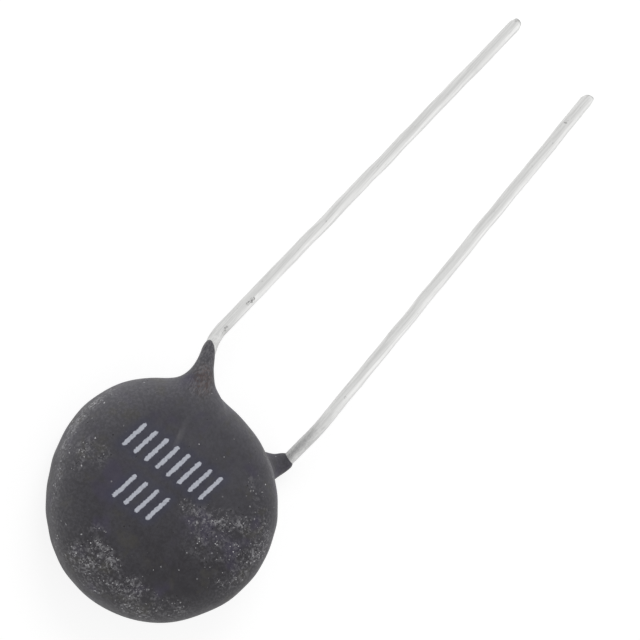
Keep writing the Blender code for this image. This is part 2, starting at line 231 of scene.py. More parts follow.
# Wires: the same form as the frame's, in mm from the disc's centre
wireForm = {
    "radius": 0.4,
    "height": 1.88,                 # of its axis over the disc's middle plane, where it is soldered
    "pitchAtBody": 9.12,
    "pitchAtTips": 6.92,
    "shiftAtBody": 0.07,
    "shiftAtTips": 0.17,
    "coatRadius": 7.45,
    "freeLength": 30.4,
    "stepBend": 1.5,
    "parallelBend": 2.4,
    "arcPoints": 40,
    "spacing": 0.1,                 # between rings
    "sides": 40,
    "wander": 0.022,                # slow bends left by handling
    "wanderRise": (3.0, 6.0),       # they start this far past the rim and take this long to grow
    "wanderFade": 8.0,              # and die away towards the tip
    "sways": (2.9, 4.7, 8.3, 13.0), # wave lengths of the bends across the pair
    "lifts": (7.1, 11.7),           # and of those up and down
    "hammer": 0.0024,               # dents of the tinned skin
    "hammerWaves": 26,
    "hammerLengths": (0.6, 3.0),
    "tipLength": 0.3,               # pinched by the cutter
    "tipPinch": 0.25,
    "tipSpread": 0.12,
    "tipSkew": 0.35,                # the cut runs slightly askew
}
# a nick is its place in mm from the tip, its bearing round the wire, its length and its depth
frontWire = {
    "name": "tinned_lead_front", "node": "front_lead", "side": -1, "face": 1, "seed": 4,
    "runAngle": 22.4, "runLength": 9.4, "stepAngle": 29.6, "stepRadius": 7.85, "bendReach": 2.15,
    "tipTurn": 25.0, "nicks": ((24.6, 70.0, 0.25, 0.05), (27.7, 60.0, 0.3, 0.05), (0.9, 100.0, 0.15, 0.04)),
}
rearWire = {
    "name": "tinned_lead_rear", "node": "rear_lead", "side": 1, "face": -1, "seed": 9,
    "runAngle": 39.0, "runLength": 10.2, "stepAngle": 35.3, "stepRadius": 8.7, "bendReach": 2.6,
    "tipTurn": -20.0, "nicks": ((2.2, 120.0, 0.35, 0.05), (27.0, 95.0, 0.3, 0.03)),
}


def polar(angle, side):
    # the direction at this many degrees off +Y, towards +X or, with side -1, towards -X
    angle = math.radians(angle)
    return np.array([side * math.sin(angle), math.cos(angle), 0.0])


def unit(vectors):
    return vectors / np.linalg.norm(vectors, axis=-1, keepdims=True)


def lengthsAlong(points):
    # how far along a line of points each of them lies
    return np.concatenate([[0], np.cumsum(np.linalg.norm(np.diff(points, axis=0), axis=1))])


def readAt(places, known, points):
    # points between those of a line, at the places asked for
    return np.stack([np.interp(places, known, points[:, axis]) for axis in range(3)], axis=1)


def wireLine(wire):
    # straight stretches joined by arcs, read again at equal steps along the length
    form = wireForm
    run = polar(wire["runAngle"], wire["side"])
    step = polar(wire["stepAngle"], wire["side"]) * wire["stepRadius"]
    step[2] = wire["face"] * form["height"]
    start = step - run * wire["runLength"]
    bend = np.array([form["shiftAtBody"] + wire["side"] * form["pitchAtBody"] / 2,
                     form["coatRadius"] + wire["bendReach"], 0])
    tip = np.array([form["shiftAtTips"] + wire["side"] * form["pitchAtTips"] / 2,
                    form["coatRadius"] + form["freeLength"], 0])
    points = [start[None]]
    for before, corner, after, radius in ((start, step, bend, form["stepBend"]),
                                          (step, bend, tip, form["parallelBend"])):
        inward, outward = unit(corner - before), unit(after - corner)
        turn = math.acos(float(inward @ outward))
        sideways = unit(outward - inward * (inward @ outward))
        angles = np.linspace(0, turn, form["arcPoints"])[:, None]
        points.append(corner - inward * radius * math.tan(turn / 2)
                      + radius * (np.sin(angles) * inward + (1 - np.cos(angles)) * sideways))
    points = np.concatenate([*points, tip[None]])
    along = lengthsAlong(points)
    steps = np.linspace(0, along[-1], int(along[-1] / form["spacing"]) + 1)
    return readAt(steps, along, points)


def surface(name, grid, first, last):
    # a grid of rings closed round, rings along the first axis, with a fan of triangles at each end;
    # the faces are turned over where the volume they enclose comes out negative
    rings, around = grid.shape[:2]
    points = np.concatenate([first[None], grid.reshape(-1, 3), last[None]])
    column = np.arange(around)
    following = (column + 1) % around
    low = 1 + np.arange(rings - 1)[:, None] * around
    quads = np.stack([low + following, low + column, low + around + column,
                      low + around + following], axis=-1).reshape(-1, 4)
    end = 1 + (rings - 1) * around
    fans = np.concatenate([np.stack([np.zeros_like(column), 1 + column, 1 + following], axis=1),
                           np.stack([end + following, end + column,
                                     np.full_like(column, len(points) - 1)], axis=1)])
    a, b, c = (points[quads[:, corner]] for corner in (0, 1, 2))
    if np.einsum("ij,ij->i", a, np.cross(b, c)).sum() < 0:
        quads, fans = quads[:, ::-1], fans[:, ::-1]
    mesh = bpy.data.meshes.new(name)
    mesh.from_pydata(points * mm + np.array(middle), [], quads.tolist() + fans.tolist())
    mesh.shade_smooth()
    piece = bpy.data.objects.new(name, mesh)
    bpy.context.scene.collection.objects.link(piece)
    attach(piece, "root")
    return piece


def makeLead(wire):
    # a circle carried along the line; its radius ripples and dips at the nicks, and it is
    # squeezed flat one way towards the cut tip
    form = wireForm
    line = wireLine(wire)
    rng = np.random.default_rng(wire["seed"])
    fromTip = np.linalg.norm(np.diff(line, axis=0), axis=1)[::-1].cumsum()[::-1]
    fromTip = np.concatenate([fromTip, [0]])
    starts, grows = form["wanderRise"]
    free = np.clip((form["freeLength"] - starts - fromTip) / grows, 0, 1)
    ease = np.clip(fromTip / form["wanderFade"], 0, 1)
    sway, lift = (sum(np.sin(fromTip * 2 * math.pi / length + phase)
                      for length, phase in zip(lengths, rng.uniform(0, anyPhase, len(lengths))))
                  for lengths in (form["sways"], form["lifts"]))
    line = line + form["wander"] * (free * ease)[:, None] * np.stack([sway, 0 * sway, lift], axis=1) / 2
    tangent = unit(np.gradient(line, axis=0))
    across = unit(np.cross(tangent, (0, 0, 1)))
    upward = np.cross(across, tangent)
    angle = np.arange(form["sides"]) * 2 * math.pi / form["sides"]
    radius = np.full((len(line), form["sides"]), form["radius"])
    for _ in range(form["hammerWaves"]):
        turns, length = rng.integers(0, 3), rng.uniform(*form["hammerLengths"])
        travel = fromTip[:, None] * 2 * math.pi / length
        wave = np.cos(turns * angle[None] + travel + rng.uniform(0, anyPhase))
        radius += form["hammer"] * wave * rng.normal() / math.sqrt(form["hammerWaves"] / 2)
    for place, bearing, size, depth in wire["nicks"]:
        turnAway = np.angle(np.exp(1j * (angle - math.radians(bearing)))) * form["radius"]
        dip = np.exp(-((fromTip[:, None] - place) / size) ** 2 - (turnAway[None] / (size * 0.5)) ** 2)
        radius -= depth * dip
    share = np.clip(1 - fromTip / form["tipLength"], 0, 1)[:, None]
    share = share * share * (3 - 2 * share)
    pinchWay = math.radians(wire["tipTurn"])
    thin, wide = np.cos(angle - pinchWay), np.sin(angle - pinchWay)
    flat = radius * thin * (1 - form["tipPinch"] * share)
    broad = radius * wide * (1 - form["tipSpread"] * share)
    x = flat * math.cos(pinchWay) - broad * math.sin(pinchWay)
    y = flat * math.sin(pinchWay) + broad * math.cos(pinchWay)
    slide = form["tipSkew"] * share * broad
    grid = (line[:, None] + x[..., None] * across[:, None] + y[..., None] * upward[:, None]
            + slide[..., None] * tangent[:, None])
    piece = surface(wire["name"], grid, line[0], grid[-1].mean(axis=0))
    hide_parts(wire["node"])
    return piece


# The dipped coat, in mm from the disc's centre
coatForm = {
    "half": middle.z / mm,          # half its thickness
    "rimCover": 0.95,               # past the disc's edge
    "rimRound": 2.2,
    "rimPower": 2.3,
    "sag": 0.16,
    "oval": 0.2, "ovalBearing": 114.0,
    "lobe": 0.12, "lobeBearing": 58.0,
    "web": 0.19, "webBearing": -17.2, "webHalf": 5.3,       # resin drawn up beside the front collar
    # the resin over a buried wire rises from below the skin at ridgeStart to a full collar at neckStart,
    # both in mm from the axis; ridgeFade is its radius where it starts
    "ridgeStart": 3.0, "ridgeFade": -0.85, "neckStart": 6.7,
    "hullPoints": 90, "hullPast": 1.2,              # spheres along a wire, and mm past the collar's end
    # from its neck a collar thins to its end, a slanted plane that is furthest out on the side named
    # longest, and there it dips into the wire at the slope given, over a rounded lip. past is how far
    # beyond the end the rays' path runs, and fillet how softly the collar blends with the disc. Its
    # middle lies a little aside of the wire, over the stretch given in asideAt.
    "collars": (
        {"wire": frontWire, "neck": 0.705, "end": 0.51, "reach": 1.95, "slant": 56.0,
         "longest": (-1, 0, 0.5), "slope": 0.9, "lip": 0.25, "past": 0.7, "fillet": 2.07,
         "aside": (-0.06, 0.04, -0.01)},
        {"wire": rearWire, "neck": 0.92, "end": 0.51, "reach": 1.73, "slant": 22.0,
         "longest": (-0.5, 0, 1), "slope": 2.3, "lip": 0.53, "past": 0.05, "fillet": 1.8,
         "aside": (-0.07, 0.04, -0.01)},
    ),
    "asideAt": (0.62, 0.45),        # middle and half length of that stretch, as shares of the collar
    # slow lumps of the cured dip: their height, wave lengths and seed, and the height over the flat
    # back up to which they fade
    "lumps": 0.03, "lumpLengths": (1.7, 2.3, 2.9, 3.6, 4.4, 5.5, 7.0, 9.0), "lumpSeed": 3, "backFade": 0.6,
    # the grid of rays: degrees between them where they are fine and coarse, and how far the fine ones
    # reach to each side of a collar and of the belt
    "columns": 380, "rows": 230, "gridSamples": 4000,
    "fineAngle": 0.45, "coarseAngle": 1.6, "fineHalf": 16.0, "beltHalf": 34.0,
    "rayStep": 0.14, "rayReach": 12.0, "halvings": 16,      # mm, mm, and times the last step is halved
    # near a collar, by a ray's angle off the collar's axis in degrees: where on a path along the wire it
    # starts, in mm from the path's end, from the neck or from the disc's centre, and its lean off the wire
    "rayAngles": (0.0, 3.0, 9.0, 13.0, 18.0, 25.0, 33.0),
    "fromEnd": (0.0, 0.0, -1.2), "fromNeck": (1.1, -0.6), "fromCentre": (3.3, 0.0),
    "rayLeans": (0.0, 90.0, 90.0, 86.0, 64.0, 40.0, 33.0),
    # points of the rays' path up to the neck, and those to each side that its direction is averaged over
    "pathPoints": 70, "pathBlur": 12,
    "settled": (10.0, 32.0), "settlings": 42,       # degrees off the axis that are evened out, and how often
    "probe": 0.01,                                  # mm, to read the field's slope
}


def smoothstep(value, low, high):
    share = np.clip((value - low) / (high - low), 0, 1)
    return share * share * (3 - 2 * share)


def readCollar(collar):
    # spheres along the wire whose hull is the collar, its end plane, and the path the rays start from
    form, wire = coatForm, collar["wire"]
    line = wireLine(wire)
    distance = np.hypot(line[:, 0], line[:, 1])
    outer = (line @ polar(wire["runAngle"], wire["side"]) > 0) & (distance >= form["ridgeStart"])
    line, distance = line[outer], distance[outer]
    end = wireForm["coatRadius"] + collar["reach"]
    at = np.linspace(form["ridgeStart"], end + form["hullPast"], form["hullPoints"])
    centres = readAt(at, distance, line)
    share, half = form["asideAt"]
    bell = np.clip(1 - np.abs(np.linspace(0, 1, len(at)) - share) / half, 0, 1)
    centres += bell[:, None] * np.array(collar["aside"])
    rise = smoothstep(at, form["ridgeStart"], form["neckStart"])
    fall = np.clip((at - form["neckStart"]) / (end - form["neckStart"]), 0, 1)
    radii = form["ridgeFade"] + (collar["neck"] - form["ridgeFade"]) * rise
    radii += (collar["end"] - collar["neck"]) * fall
    last = int(np.searchsorted(distance, end))
    along = unit(line[last + 1] - line[last - 1])
    longest = np.array(collar["longest"], float)
    longest = unit(longest - along * (longest @ along))
    slant = math.radians(collar["slant"])
    facing = math.cos(slant) * along - math.sin(slant) * longest
    neckIndex = int(np.searchsorted(distance, form["neckStart"]))
    inner = int(np.searchsorted(distance, end + collar["past"]))
    neck = line[neckIndex]
    toNeck = np.linspace((0, 0, 0), neck, form["pathPoints"])
    path = np.concatenate([toNeck[:-1], line[neckIndex:inner + 1]])
    travelled = lengthsAlong(path)
    tangents = unit(np.gradient(path, axis=0))
    beside = form["pathBlur"]
    blur = np.ones(2 * beside + 1) / (2 * beside + 1)
    padded = np.concatenate([np.repeat(tangents[:1], beside, 0), tangents,
                             np.repeat(tangents[-1:], beside, 0)])
    tangents = unit(np.stack([np.convolve(padded[:, axis], blur, "valid") for axis in range(3)], axis=1))
    return {"centres": centres, "radii": radii, "end": line[last], "facing": facing, "axis": unit(neck),
            "slope": collar["slope"], "lip": collar["lip"], "fillet": collar["fillet"],
            "path": path, "travelled": travelled, "tangents": tangents,
            "neckAt": float(np.linalg.norm(neck))}


def smoothMin(first, second, reach):
    # the lesser of two fields, and less than both where they are closer than the reach
    share = np.clip(1 - np.abs(first - second) / reach, 0, None)
    return np.minimum(first, second) - share * share * reach / 4


def ripple(points, waves, seed):
    # slow lumps: the sum of sine waves in scattered directions
    rng = np.random.default_rng(seed)
    total = np.zeros(points.shape[:-1])
    for length in waves:
        direction = unit(rng.normal(size=3)) * 2 * math.pi / length
        total += np.sin(points @ direction + rng.uniform(0, anyPhase))
    return total / math.sqrt(len(waves))


def coatField(points, collars):
    # a disc with a super-elliptic rim, blended with the two collars; negative inside
    form = coatForm
    across, along = points[:, 0], points[:, 1] + form["sag"]
    bearing = np.arctan2(across, along)
    outline = (discRadius + form["rimCover"]
               + form["oval"] * np.cos(2 * (bearing - math.radians(form["ovalBearing"])))
               + form["lobe"] * np.cos(3 * (bearing - math.radians(form["lobeBearing"])))
               + form["web"] * np.exp(-((np.degrees(bearing) - form["webBearing"]) / form["webHalf"]) ** 2))
    rimRound, power = form["rimRound"], form["rimPower"]
    outward = np.clip(np.hypot(across, along) - (outline - rimRound), 0, None) / rimRound
    upward = np.abs(points[:, 2]) / form["half"]
    field = ((outward ** power + upward ** power) ** (1 / power) - 1) * min(rimRound, form["half"])
    for collar in collars:
        centres = collar["centres"]
        squared = ((points ** 2).sum(axis=1)[:, None] - 2 * points @ centres.T
                   + (centres ** 2).sum(axis=1)[None])
        hull = (np.sqrt(np.clip(squared, 0, None)) - collar["radii"]).min(axis=1)
        pastEnd = (points - collar["end"]) @ collar["facing"]
        lip = collar["lip"]
        eased = np.clip(pastEnd + lip, 0, 2 * lip) ** 2 / (4 * lip) + np.clip(pastEnd - lip, 0, None)
        field = smoothMin(field, hull + collar["slope"] * eased, collar["fillet"])
    return np.maximum(field, -points[:, 2] - form["half"])


def crowded(count, low, high, centres, half):
    # angles whose spacing shrinks round the centres: equal shares of a summed density, which stands
    # in flat-topped bells
    form = coatForm
    angles = np.linspace(low, high, form["gridSamples"])
    density = np.full_like(angles, 1 / form["coarseAngle"])
    for centre in centres:
        bell = np.exp(-np.abs((angles - centre) / half) ** 6)
        density = np.maximum(density, bell / form["fineAngle"])
    total = np.concatenate([[0], np.cumsum((density[1:] + density[:-1]) / 2)])
    return np.interp(np.linspace(0, total[-1], count), total, angles)


def coatRays(directions, collars):
    # where each ray starts and which way it goes: from the disc's centre outwards, but near a collar
    # from points along its wire, square to it, so that its sides are met as evenly as the disc's
    starts, ways = np.zeros_like(directions), directions.copy()
    form = coatForm
    angles = form["rayAngles"]
    for collar in collars:
        off = np.degrees(np.arccos(np.clip(directions @ collar["axis"], -1, 1)))
        near = off < angles[-1]
        begins = [collar["travelled"][-1] + more for more in form["fromEnd"]]
        begins += [collar["neckAt"] + more for more in form["fromNeck"]]
        at = np.interp(off[near], angles, [*begins, *form["fromCentre"]])
        lean = np.radians(np.interp(off[near], angles, form["rayLeans"]))[:, None]
        starts[near] = readAt(at, collar["travelled"], collar["path"])
        tangent = unit(readAt(at, collar["travelled"], collar["tangents"]))
        beside = directions[near] - collar["axis"] * (directions[near] @ collar["axis"])[:, None]
        beside = unit(beside - tangent * (beside * tangent).sum(axis=1)[:, None] + 1e-9)
        ways[near] = np.cos(lean) * tangent + np.sin(lean) * beside
    return starts, ways


def settle(points, directions, shape, collars):
    # evens the grid round the collars' roots: each point goes half way to the mean of its four
    # neighbours, and then down the field's gradient, back onto the skin
    off = [np.degrees(np.arccos(np.clip(directions @ collar["axis"], -1, 1))) for collar in collars]
    low, high = coatForm["settled"]
    loose = np.flatnonzero((np.min(off, axis=0) > low) & (np.min(off, axis=0) < high))
    probe = coatForm["probe"]
    for _ in range(coatForm["settlings"]):
        grid = points.reshape(*shape, 3)
        mean = (np.roll(grid, 1, 0) + np.roll(grid, -1, 0) + np.roll(grid, 1, 1) + np.roll(grid, -1, 1)) / 4
        moved = (points[loose] + mean.reshape(-1, 3)[loose]) / 2
        value = coatField(moved, collars)
        changes = [coatField(moved + step, collars) - value for step in np.eye(3) * probe]
        slope = np.stack(changes, axis=1) / probe
        points[loose] = moved - slope * (value / (slope ** 2).sum(axis=1))[:, None]
    return points


def makeCoat():
    # a grid of bearings and heights of rays; each ray steps out until it leaves the coat, and the
    # last step is halved again and again to find the skin
    form = coatForm
    collars = [readCollar(collar) for collar in form["collars"]]
    bearings = [math.degrees(math.atan2(c["axis"][0], c["axis"][1])) for c in collars]
    columns = crowded(form["columns"] + 1, -180, 180, bearings, form["fineHalf"])[:-1]
    rows = crowded(form["rows"] + 2, -90, 90, [0], form["beltHalf"])[1:-1]
    height, bearing = np.meshgrid(np.radians(rows), np.radians(columns), indexing="ij")
    directions = np.stack([np.cos(height) * np.sin(bearing), np.cos(height) * np.cos(bearing),
                           np.sin(height)], axis=-1).reshape(-1, 3)
    directions = np.concatenate([[[0, 0, -1.0]], directions, [[0, 0, 1.0]]])
    starts, ways = coatRays(directions, collars)
    reach = np.zeros(len(directions))
    going = np.ones(len(directions), bool)
    while going.any() and reach.max() < form["rayReach"]:
        ahead = starts[going] + ways[going] * (reach[going] + form["rayStep"])[:, None]
        inside = coatField(ahead, collars) < 0
        index = np.flatnonzero(going)
        reach[index[inside]] += form["rayStep"]
        going[index[~inside]] = False
    near, far = reach, reach + form["rayStep"]
    for _ in range(form["halvings"]):
        half = (near + far) / 2
        inside = coatField(starts + ways * half[:, None], collars) < 0
        near, far = np.where(inside, half, near), np.where(inside, far, half)
    points = starts + ways * near[:, None]
    points[1:-1] = settle(points[1:-1], directions[1:-1], (len(rows), len(columns)), collars)
    swell = form["lumps"] * ripple(points, form["lumpLengths"], form["lumpSeed"])
    raised = smoothstep(points[:, 2], -form["half"], -form["half"] + form["backFade"])
    points = points + ways * (swell * raised)[:, None]
    grid = points[1:-1].reshape(len(rows), len(columns), 3)
    piece = surface("dipped_coat", grid, points[0], points[-1])
    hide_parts("resin_coating")
    return piece


leads = [makeLead(wire) for wire in (frontWire, rearWire)]
print("wires swept")
coat = makeCoat()
print("coat dipped,", len(coat.data.polygons), "faces")


# Materials. The size of a pattern is the width of one blotch in mm. A noise's cell is about twice as
# wide as its blotch, so its scale is half of one over that size.
def inMm(add, stretched=(1, 1, 1), turn=0.0):
    # the piece's own coordinates in mm, turned about Z and then drawn out along each axis
    place = add("TexCoord", {}).node.outputs["Object"]
    return add("Mapping", {"vector_type": "TEXTURE"}, place, Rotation=(0, 0, turn),
               Scale=[value * mm for value in stretched])


def awayFrom(add, where, start, end):
    # mm from a straight stretch: |p - a - t (b - a)|, t = ((p - a) . (b - a)) / |b - a|^2 within 0..1
    start, end = (Vector(point) + Vector((0, 0, middle.z / mm)) for point in (start, end))
    stretch = end - start
    placed = add("VectorMath", minus, where, start)
    share = add("VectorMath", dotted, placed, stretch / stretch.length_squared)
    foot = add("VectorMath", {"operation": "SCALE"}, stretch, add("Clamp", {}, share))
    return add("VectorMath", {"operation": "DISTANCE"}, placed, foot)


# The mark: plain slanted strokes in two rows, stamped on the front in pale ink
inkLook = {
    "colour": "#c6c9d4", "halo": "#404155",
    "stroke": 0.27, "height": 1.9, "turn": 8.0, "slant": -14.0, "pitch": 0.86,
    "rows": ((-4.95, 1.35, 8), (-3.25, -1.35, 4)),     # x and y of the row's start in mm, strokes
    "soft": 0.03,                   # mm over which a stroke's edge fades, to each side
    "ragged": 0.04, "raggedSize": 0.07,
    "cover": (0.74, 0.97),          # of the ink, on the grain's low and high points
    "haloEnds": (0.2, 0.8),         # mm from a stroke's spine
    "haloCover": 0.45,
    "faceStarts": (1.7, 2.2),       # mm over the disc's middle plane, between which the mark comes in
}


def inkDistance(add, where):
    # the distance to the nearest stroke's spine: along the row to the nearest of the evenly spaced
    # strokes, and up or down past the spine's end, both squared and summed, and the root of that
    look = inkLook
    turn, lean = math.radians(look["turn"]), math.tan(math.radians(look["slant"]))
    along, across = (math.cos(turn), math.sin(turn), 0.0), (-math.sin(turn), math.cos(turn), 0.0)
    rows = []
    for x, y, strokes in look["rows"]:
        placed = add("VectorMath", minus, where, (x, y, 0.0))
        u = add("VectorMath", dotted, placed, along)
        v = add("VectorMath", dotted, placed, across)
        u = add("Math", plus, u, add("Math", times, v, lean))
        steps = add("Math", {"operation": "DIVIDE"}, u, look["pitch"])
        index = add("Math", {"operation": "ROUND"}, steps)
        index = add("Clamp", {}, index, 0.0, strokes - 1.0)
        beside = add("Math", minus, u, add("Math", times, index, look["pitch"]))
        above = add("Math", {"operation": "ABSOLUTE"}, v)
        beyond = add("Math", minus, above, (look["height"] - look["stroke"]) / 2)
        beyond = add("Math", highest, beyond, 0.0)
        squared = add("Math", plus, add("Math", times, beside, beside),
                      add("Math", times, beyond, beyond))
        rows.append(add("Math", {"operation": "SQRT"}, squared))
    return add("Math", lowest, *rows)


def stampedMark(add, where, grain, distance, colour):
    # a faint dark halo round the strokes and then the ink: full up to half a stroke's width from a
    # spine, with a ragged edge, and thinner in the grain's low points
    look = inkLook
    height = add("SeparateXYZ", {}, where).node.outputs["Z"]
    front = add("MapRange", smooth, height, *(middle.z / mm + more for more in look["faceStarts"]))
    halo = add("MapRange", smooth, distance, *look["haloEnds"], look["haloCover"], 0.0)
    halo = add("Math", times, halo, front)
    colour = add("Mix", inColour, halo, colour, linear(look["halo"]))
    ragged = add("TexNoise", {}, where, 0.5 / look["raggedSize"])
    ragged = add("MapRange", {}, ragged, *usual, -look["ragged"], look["ragged"])
    ragged = add("Math", plus, distance, ragged)
    edge = look["stroke"] / 2
    ink = add("MapRange", smooth, ragged, edge - look["soft"], edge + look["soft"], 1.0, 0.0)
    cover = add("MapRange", smooth, grain, 0.25, 0.5, *look["cover"])
    return add("Mix", inColour, add("Math", times, ink, front, cover),
               colour, linear(look["colour"]))


# The resin: a phenolic or silicone dip filled with powder and cured matte. Its colour is painted lighter
# towards the wires and darker at the far end, a painted light and shade. The filler leaves it dull, finely
# grained and mottled, with a pale sheen where the rim turns away and a pale band painted round the rim as
# rim light, and packing dust sits in its pores in patches.
resinLook = {
    "dark": "#343236", "light": "#504f55", "olive": "#4a4840", "violet": "#454052", "rust": "#52423f",
    # the pits' colour is painted shade
    "pitShade": "#1d1c1f", "paleDustAndLight": "#cdcccf",
    "paintedLightWay": (-0.51, 0.86, 0.0),     # painted light and shade: from the dark end to the light one
    "paintedLightAlong": (-6.0, 8.0),             # mm along it
    "grain": 0.09,                      # the real filler is finer than a picture shows
    "mottle": 0.3,
    "cloud": 1.6, "cloudWarp": 0.4,
    "toneOfCloud": 0.12, "toneOfGrain": 0.14,       # how far each takes the tone up and down
    # clouds of another tint: size, detail, roughness and how strong they get
    "tints": (("olive", 0.7, 3.0, 0.6, 0.45), ("violet", 1.1, 2.0, 0.5, 0.6)),
    "tinted": (0.54, 0.7),
    "roughness": (0.6, 0.78),
    "specular": 0.3, "sheen": 0.15, "sheenRoughness": 0.5,
    "mottleDepth": 0.03, "grainDepth": 0.02, "speckDepth": 0.02,        # mm
    # the edge's pale band, painted rim light with a dusty grain: mm from the disc's axis where it begins, is
    # full and has thinned to the share left, and its share on the mottle's low and high points
    "rim": (5.2, 7.4, 7.9), "rimLeft": 0.3, "rimMottled": (0.3, 0.55),
    # how pale a film leaves the resin: on the grain's high points, and everywhere
    "speckled": (0.45, 0.62), "rimLightAndDust": (0.08, 0.07), "dustVeil": (0.4, 0.03),
    # where dust lies: stretches in mm from the disc's centre, their radius and how thick it is
    "dusty": (
        ((-2.35, -6.6, 2.3), (-0.8, -5.8, 2.6), 1.5, 1.0), ((-1.9, -5.1, 2.7), (-1.1, -5.3, 2.7), 0.8, 1.0),
        ((-1.4, -6.9, 2.0), (-0.2, -6.9, 2.1), 1.2, 0.55), ((0.4, -6.1, 2.5), (1.8, -5.6, 2.6), 1.2, 0.7),
        ((2.1, -6.4, 2.0), (3.6, -5.9, 1.9), 1.1, 0.75), ((3.1, -5.5, 2.4), (4.8, -4.6, 2.2), 1.2, 0.45),
        ((0.7, 0.3, 2.75), (2.0, 0.4, 2.75), 1.0, 0.6), ((2.0, 0.4, 2.75), (4.0, 1.7, 2.75), 1.2, 0.9),
        ((4.6, 3.2, 2.6), (5.8, 2.0, 2.4), 0.9, 0.45), ((5.8, 2.0, 2.4), (6.1, 0.4, 2.4), 1.2, 0.85),
        ((6.0, 0.4, 2.4), (5.7, -1.5, 2.4), 1.2, 0.5), ((3.0, -0.6, 2.75), (4.6, 0.2, 2.75), 1.8, 0.35),
        ((-7.3, -2.0, 0.5), (-7.6, -0.1, 0.4), 1.0, 1.0), ((-7.6, -0.1, 0.4), (-7.0, 2.5, 0.5), 1.0, 0.9),
        ((-7.4, -2.2, 1.2), (-5.5, -5.4, 1.0), 0.9, 0.5), ((-5.0, -5.9, 0.8), (-3.4, -6.9, 0.8), 1.0, 0.3),
        ((-7.2, -1.4, 2.4), (-5.8, -1.1, 2.75), 1.1, 0.5), ((-6.7, -2.8, 2.5), (-6.4, -2.2, 2.6), 0.8, 0.45),
        ((-3.3, -4.9, 2.7), (-2.5, -4.1, 2.75), 0.6, 0.2),
        ((2.5, 6.3, 1.6), (3.9, 5.55, 1.5), 0.5, 0.75), ((2.6, 4.4, 2.7), (4.0, 3.7, 2.6), 0.7, 0.25),
    ),
    "clump": 0.4, "clumped": (0.4, 0.62), "thinnest": 0.12,     # it lies in clumps, and thin between them
    "offInk": (0.3, 0.9),               # mm from a stroke's spine, up to where the ink keeps it off
    # single specks: mm between them where they lie thick, mm that a noise of the scale given shifts them,
    # their radii and soft edge as shares of a cell, the share of cells taken in dust and elsewhere, and
    # the least strength
    "speckCell": 0.125, "speckWarp": 0.12, "warpsPerMm": 12.0,
    "speckSizes": (0.22, 0.56), "speckSoft": 0.12,
    "speckShare": 0.72, "strayShare": 0.006, "speckLeast": 0.16,
    "pitRarity": 0.992, "pitsInDust": 0.3, "pitStrength": 0.8,
    "ridge": ((-3.45, 5.0, 2.85), (-2.5, 2.6, 2.75)),   # where the front wire lifts the skin; a pale line is painted along it as the ridge's highlight
    "ridgeHighlightEnds": (0.03, 0.3), "ridgeHighlight": 0.17,        # mm from its line where it is full and gone
    "climb": ((-3.8, 6.4, 2.6), (-4.3, 9.2, 0.6)),      # the front collar, dark, streaked as the dip drained
    "climbEnds": (0.5, 1.2), "climbTone": -0.5,         # mm from its line, and what the tone loses there
    "climbTurn": 13.0,                  # degrees its streaks lean off +Y
    "streak": 0.06, "streakStretch": (1, 5, 1.5),
    "streakEnds": (0.6, 1.1), "streakVeil": 0.11, "streaked": (0.42, 0.64),
    "rusty": ((-3.75, 6.4, 2.7), (-4.0, 7.1, 2.2)),     # a tinge of flux at its root
    "rustyEnds": (0.2, 0.9), "rustyCover": (0.6, 0.1),
}


def bareResin(add, where, grain, climb):
    # the tone goes from dark to light across the body, a painted light and shade, takes a share of the
    # clouds and the grain and drops at the front collar; olive and violet clouds and the flux's tinge are
    # laid over it
    look = resinLook
    # painted light and shade: the colour grows lighter along this way, towards the wires
    paintedLightAlong = add("VectorMath", dotted, where, look["paintedLightWay"])
    cloud = add("TexNoise", {}, where, 0.5 / look["cloud"], 3.0, 0.5, Distortion=look["cloudWarp"])
    toneAndPaintedShade = add("Math", plus,
               add("MapRange", {}, paintedLightAlong, *look["paintedLightAlong"]),
               add("MapRange", smooth, cloud, *usual, -look["toneOfCloud"], look["toneOfCloud"]),
               add("MapRange", smooth, grain, *usual, -look["toneOfGrain"], look["toneOfGrain"]),
               add("MapRange", smooth, climb, *look["climbEnds"], look["climbTone"], 0.0))
    colour = add("Mix", inColour, toneAndPaintedShade, linear(look["dark"]), linear(look["light"]))
    for tint, size, detail, roughness, strongest in look["tints"]:
        blotch = add("TexNoise", {}, where, 0.5 / size, detail, roughness)
        share = add("MapRange", smooth, blotch, *look["tinted"], 0.0, strongest)
        colour = add("Mix", inColour, share, colour, linear(look[tint]))
    away = awayFrom(add, where, *look["rusty"])
    rusty = add("Math", times,
                add("MapRange", smooth, away, *look["rustyEnds"], 1.0, 0.0),
                add("MapRange", smooth, grain, 0.4, 0.6, *look["rustyCover"]))
    return add("Mix", inColour, rusty, colour, linear(look["rust"]))


def dustFilm(add, where, clear):
    # how thick the packing dust lies: full near each stretch and gone at its radius, the thickest of
    # them where they meet, broken into clumps and kept off the ink
    look = resinLook
    patches = []
    for start, end, radius, thick in look["dusty"]:
        away = awayFrom(add, where, start, end)
        patches.append(add("MapRange", smooth, away, radius * 0.1, radius, thick, 0.0))
    clumps = add("TexNoise", {}, where, 0.5 / look["clump"], 4.0, 0.75)
    clumps = add("MapRange", smooth, clumps, *look["clumped"], look["thinnest"], 1.0)
    return add("Math", times, add("Math", highest, *patches), clumps, clear)


